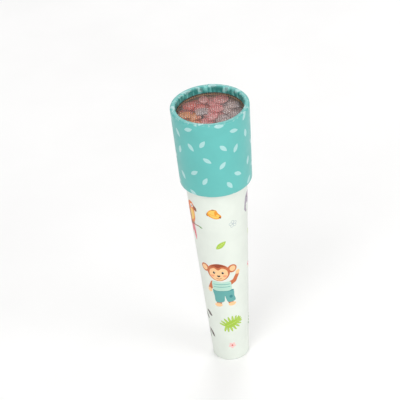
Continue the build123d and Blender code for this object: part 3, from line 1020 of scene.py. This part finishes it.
def make_tube_print():
    profile = Profile([(TUBE_FOOT_RADIUS, TUBE_FOOT), (TUBE_TOP_RADIUS, TUBE_TOP)])
    sheet = PrintedSheet(profile, 180, 3.0, lambda degrees, s: lap(degrees, s, profile.length))
    for row in TUBE_PRINT:
        sheet.add(*row)
    piece = sheet.build("tube_print", "mint", "tube")
    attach(piece, "tube")
    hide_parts("tube_wrap")


PLEATS = 74
PLEAT_HEIGHT = 0.17
PLEAT_SINK = 0.052
PLEAT_STEPS = 1440


def pleat_ridges():
    """Heights, 0 to 1, of the folds that gather the turned-in paper, at every quarter of a degree."""
    draw, n = random.Random(7), PLEAT_STEPS
    ridges = np.zeros(n)
    for k in range(PLEATS):
        middle = (k + draw.uniform(-0.35, 0.35)) * n / PLEATS
        width = draw.uniform(3.5, 8.5)
        height = draw.uniform(0.35, 1.0)
        lean = draw.uniform(0.5, 1.6)
        steps = (np.arange(n) - middle + n / 2) % n - n / 2
        side = np.where(steps < 0, -steps / (width * lean), steps / width)
        ridges = np.maximum(ridges, height * np.clip(1 - side, 0, 1))
    return ridges


def make_head_print():
    profile = Profile(
        [(TURN_IN_RADIUS, COLLAR_FOOT), (TURN_IN_RADIUS - 0.1, HEAD_FOOT), (HEAD_LOW_RADIUS, HEAD_FOOT),
         (HEAD_RIM_RADIUS, HEAD_TOP), (RECESS_RADIUS, HEAD_TOP), (RECESS_RADIUS, WINDOW_TOP)],
        (LOW_EDGE_ROUND, LOW_EDGE_ROUND, RIM_ROUND, RIM_ROUND),
    )
    ridges = pleat_ridges()
    rim_starts = profile.wall()[1]

    def lift(degrees, s):
        gathered = np.clip((s - rim_starts - 2.0) / 2.6, 0, 1)
        fold = np.interp(degrees % 360, np.arange(PLEAT_STEPS) * 360 / PLEAT_STEPS, ridges, period=360)
        settle = np.clip((profile.length - s) / 0.15, 0, 1)
        return np.maximum(lap(degrees, s, profile.length) * (1 - gathered),
                          gathered * (PLEAT_HEIGHT * fold - PLEAT_SINK) * settle)

    sheet = PrintedSheet(profile, 360, 4.0, lift)
    mark = [("leaf_mark", leaf(0, 0, 7.0, 3.2, 0, 0.8))]
    for half_turn in (0, 180):
        for angle, height, tilt in HEAD_MARKS:
            sheet.add(mark, (angle + half_turn + 180) % 360 - 180, height, tilt)
    for row in RIM_MARKS:
        sheet.add(mark, *row)
    piece = sheet.build("head_print", "teal", "head")
    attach(piece, "head")
    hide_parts("head_wrap")


# ---------------- window, chips and inner pieces

SHARP = math.radians(35)


def turned(name, outline, columns, material):
    """A closed (radius, height) outline in mm turned about the axis. Points at radius 0 become one."""
    bm = bmesh.new()
    line = [bm.verts.new((r * MM, 0, z * MM)) for r, z in outline]
    edges = [bm.edges.new(pair) for pair in zip(line, line[1:])]
    bmesh.ops.spin(bm, geom=line + edges, cent=(0, 0, 0), axis=(0, 0, 1), angle=TURN, steps=columns,
                   use_merge=True)
    bmesh.ops.remove_doubles(bm, verts=bm.verts, dist=1e-7)
    return piece_from(bm, name, material)


def piece_from(bm, name, material):
    """A new piece from the faces made in bm."""
    bmesh.ops.recalc_face_normals(bm, faces=bm.faces)
    mesh = bpy.data.meshes.new(name)
    bm.to_mesh(mesh)
    bm.free()
    return as_piece(name, mesh, material)


def as_piece(name, mesh, *materials):
    """A new object, smooth except where its faces meet at a sharp angle."""
    for material in materials:
        mesh.materials.append(material)
    mesh.polygons.foreach_set("use_smooth", [True] * len(mesh.polygons))
    mesh.set_sharp_from_angle(angle=SHARP)
    return placed(name, mesh)


RIB_PITCH = 1.5
RIB_WIDTHS = {"front_to_back": 0.5, "side_to_side": 0.24}
RIB_HEIGHT = 0.12
RIB_SINK = 0.02
RIB_TOP = 0.28
RIB_STEP = 0.015
PANE_GAP = 0.05
PANE_BEVEL = 0.25


def make_window(pane_material, rib_material):
    """The clear pane, with the fine square grid moulded on its face."""
    low, top, r, e = WINDOW_FOOT, WINDOW_TOP - RIB_HEIGHT, WINDOW_RADIUS - PANE_GAP, PANE_BEVEL
    outline = [(0, low), (r - e, low), (r, low + e), (r, top - e), (r - e, top), (0, top)]
    pane = turned("window_pane", outline, 128, pane_material)
    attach(pane, "head")
    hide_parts("chamber_window")

    bm = bmesh.new()
    foot = top - RIB_SINK
    reach = RECESS_RADIUS - 0.15
    count = int(reach / RIB_PITCH)
    for run, width in RIB_WIDTHS.items():
        across = run == "side_to_side"
        face = WINDOW_TOP if across else WINDOW_TOP - RIB_STEP
        for k in range(-count, count + 1):
            middle = k * RIB_PITCH
            half = math.sqrt(reach ** 2 - middle ** 2)
            ends = []
            for end in (-half, half):
                corners = []
                for side, z in ((-0.5, foot), (-RIB_TOP, face), (RIB_TOP, face), (0.5, foot)):
                    x, y = (end, middle + side * width) if across else (middle + side * width, end)
                    corners.append(bm.verts.new((x * MM, y * MM, z * MM)))
                ends.append(corners)
            a, b = ends
            for i in range(4):
                bm.faces.new((a[i], a[(i + 1) % 4], b[(i + 1) % 4], b[i]))
            bm.faces.new(a[::-1])
            bm.faces.new(b)
    ribs = piece_from(bm, "window_ribs", rib_material)
    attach(ribs, "head")


def softened(node, body, edge_mm, *materials, slot):
    """A copy of a CAD node with its sharp edges rounded, which stands for the node."""
    mesh = frame["nodes"][node].data.copy()
    mesh.materials.clear()
    bm = bmesh.new()
    bm.from_mesh(mesh)
    bmesh.ops.remove_doubles(bm, verts=bm.verts, dist=1e-6)
    bmesh.ops.dissolve_limit(bm, angle_limit=math.radians(0.5), verts=bm.verts, edges=bm.edges)
    sharp = [e for e in bm.edges if len(e.link_faces) == 2 and e.calc_face_angle(0) > SHARP]
    bmesh.ops.bevel(bm, geom=sharp, offset=edge_mm * MM, segments=2, profile=0.5, affect="EDGES",
                    clamp_overlap=True)
    bmesh.ops.triangulate(bm, faces=[f for f in bm.faces if len(f.verts) > 4])
    bm.to_mesh(mesh)
    bm.free()
    piece = as_piece(f"{node}_piece", mesh, *materials)
    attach(piece, body)
    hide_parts(node)
    return piece


def make_mirrors(face, back):
    """Each strip has a mirror face towards the axis and grey paint on its back and edges."""
    for node in ("mirror_rear", "mirror_left", "mirror_right"):
        piece = softened(node, "tube", 0.12, back, face, slot="mirror_strip")
        for polygon in piece.data.polygons:
            out = Vector((polygon.center.x, polygon.center.y, 0)).normalized()
            if polygon.area > 1e-5 and polygon.normal.dot(out) < -0.5:
                polygon.material_index = 1


def material_library():
    """One material for each material slot of the record."""
    ring = (0.20, 0.13, 0.07, 1)
    makers = {
        "greyboard": (greyboard,),
        "mint_paper": (printed_paper, MINT),
        "teal_paper": (printed_paper, TEAL),
        "mint_plastic": (moulded_plastic, shade(MINT, 0.96)),
        "clear_sheet": (clear_sheet, (0.88, 0.92, 0.92, 1), 0.08),
        "grid_sheet": (clear_sheet, (0.9, 0.9, 0.92, 1), 0.04, (0.08, 0.2)),
        # The brown card's two heights get painted highlight lines.
        "brown_card": (plain_card, ring, 0.3, (0.3, 0.5), (WINDOW_FOOT - 0.5, WINDOW_FOOT - 3.0)),
        "black_card": (plain_card, (0.012, 0.012, 0.013, 1)),
        "paper_tape": (crepe_tape,),
        "foam": (foam,),
        "mirror_strip": (mirror_face,),
        "orange_chip": (tinted_chip, linear(255, 164, 78), linear(255, 140, 100)),
        "pink_chip": (tinted_chip, linear(255, 148, 146), linear(250, 176, 168)),
        "red_chip": (tinted_chip, linear(248, 106, 88), linear(240, 146, 134)),
        "violet_chip": (tinted_chip, linear(224, 190, 182), linear(196, 178, 178)),
        "clear_bead": (tinted_chip, linear(240, 226, 212), None, 0.55),
        "gold_rod": (tinted_chip, linear(230, 180, 90), None, 1),
    }
    return {slot: make(slot, *values) for slot, (make, *values) in makers.items()}


def finish_nodes(library):
    """Gives every CAD node its slot's material, and rounds the edges of the chips."""
    slots = {s["node"]: s["material_slot"] for s in frame["record"]["subparts"]}
    bodies = frame["record"]["behaviour"]["bodies"]
    for node, piece in frame["nodes"].items():
        piece.data.materials.clear()
        piece.data.materials.append(library[slots[node]])
    for body in ("lower_flakes", "middle_flakes", "upper_flakes", "beads"):
        for node in bodies[body]:
            softened(node, body, 0.1, library[slots[node]], slot=slots[node])


def make_floor():
    mesh = bpy.data.meshes.new("studio_floor")
    r = FLOOR_REACH
    mesh.from_pydata([(-r, -r, 0), (r, -r, 0), (r, r, 0), (-r, r, 0)], [], [(0, 1, 2, 3)])
    mesh.materials.append(floor_paint())
    floor = placed("studio_floor", mesh)


make_camera()
make_lights()
make_floor()
scene.cycles.transparent_max_bounces = 32
library = material_library()
make_tube_print()
make_head_print()
rib = clear_sheet("window_rib", (0.14, 0.09, 0.08, 1), 0.27, (0.3, 0.45))
make_window(library["grid_sheet"], rib)
back_paint = plain_card("mirror_back_paint", (0.25, 0.25, 0.27, 1), 0.5, (0.45, 0.6))
make_mirrors(library["mirror_strip"], back_paint)
finish_nodes(library)
